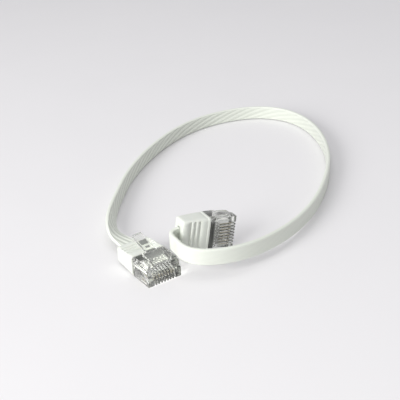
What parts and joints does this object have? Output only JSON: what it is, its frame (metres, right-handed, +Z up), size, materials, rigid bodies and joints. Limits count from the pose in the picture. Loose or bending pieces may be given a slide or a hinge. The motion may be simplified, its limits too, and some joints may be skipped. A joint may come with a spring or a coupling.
{
  "type": "ethernet patch cable",
  "caption": "Short flat white network patch cable laid in an open loop on its edge, with a clear modular plug, a spring latch and a ribbed boot on each end.",
  "frame": {"origin": "on the flat contact-side face on which plug A rests, 8 mm behind its nose and midway across it", "axes": "+Z up, away from the surface the cable lies on; -Y towards the front, where plug A's nose points 34 degrees to the right of -Y; +X to the right"},
  "size_m": [0.0837, 0.1352, 0.0148],
  "materials": {
    "clear_polycarbonate": "clear, polished moulding",
    "contact_gold": "gold flash over phosphor bronze",
    "comb_plastic": "translucent moulding",
    "boot_white": "soft satin moulding",
    "jacket_white": "satin extruded PVC",
    "wire_insulation": "satin",
    "pair_blue": "satin",
    "pair_orange": "satin",
    "pair_green": "satin",
    "pair_brown": "satin"
  },
  "bodies": {
    "root": {"plug_a_housing": "clear_polycarbonate", "plug_a_contact_1": "contact_gold", "plug_a_wire_1": "wire_insulation", "plug_a_contact_2": "contact_gold", "plug_a_wire_2": "wire_insulation", "plug_a_contact_3": "contact_gold", "plug_a_wire_3": "wire_insulation", "plug_a_contact_4": "contact_gold", "plug_a_wire_4": "wire_insulation", "plug_a_contact_5": "contact_gold", "plug_a_wire_5": "wire_insulation", "plug_a_contact_6": "contact_gold", "plug_a_wire_6": "wire_insulation", "plug_a_contact_7": "contact_gold", "plug_a_wire_7": "wire_insulation", "plug_a_contact_8": "contact_gold", "plug_a_wire_8": "wire_insulation", "plug_a_load_bar": "comb_plastic", "plug_a_strain_bar": "comb_plastic", "plug_a_boot": "boot_white", "plug_b_housing": "clear_polycarbonate", "plug_b_contact_1": "contact_gold", "plug_b_wire_1": "wire_insulation", "plug_b_contact_2": "contact_gold", "plug_b_wire_2": "wire_insulation", "plug_b_contact_3": "contact_gold", "plug_b_wire_3": "wire_insulation", "plug_b_contact_4": "contact_gold", "plug_b_wire_4": "wire_insulation", "plug_b_contact_5": "contact_gold", "plug_b_wire_5": "wire_insulation", "plug_b_contact_6": "contact_gold", "plug_b_wire_6": "wire_insulation", "plug_b_contact_7": "contact_gold", "plug_b_wire_7": "wire_insulation", "plug_b_contact_8": "contact_gold", "plug_b_wire_8": "wire_insulation", "plug_b_load_bar": "comb_plastic", "plug_b_strain_bar": "comb_plastic", "plug_b_boot": "boot_white", "cable_jacket": "jacket_white", "wire_pair_blue": "pair_blue", "wire_pair_orange": "pair_orange", "wire_pair_green": "pair_green", "wire_pair_brown": "pair_brown"},
    "latch_a": {"plug_a_latch": "clear_polycarbonate"},
    "latch_b": {"plug_b_latch": "clear_polycarbonate"}
  },
  "joints": [
    {"name": "latch_a_press", "type": "hinge", "parent": "root", "child": "latch_a", "pos_m": [0.00363, -0.00539, 0.00705], "axis": [-0.829, -0.5592, 0], "range_deg": [0, 6], "stiffness_Nm_per_rad": 0.08},
    {"name": "latch_b_press", "type": "hinge", "parent": "root", "child": "latch_b", "pos_m": [0.02229, 0.01733, 0.00606], "axis": [0.1533, 0.0815, 0.9848], "range_deg": [0, 6], "stiffness_Nm_per_rad": 0.08}
  ]
}
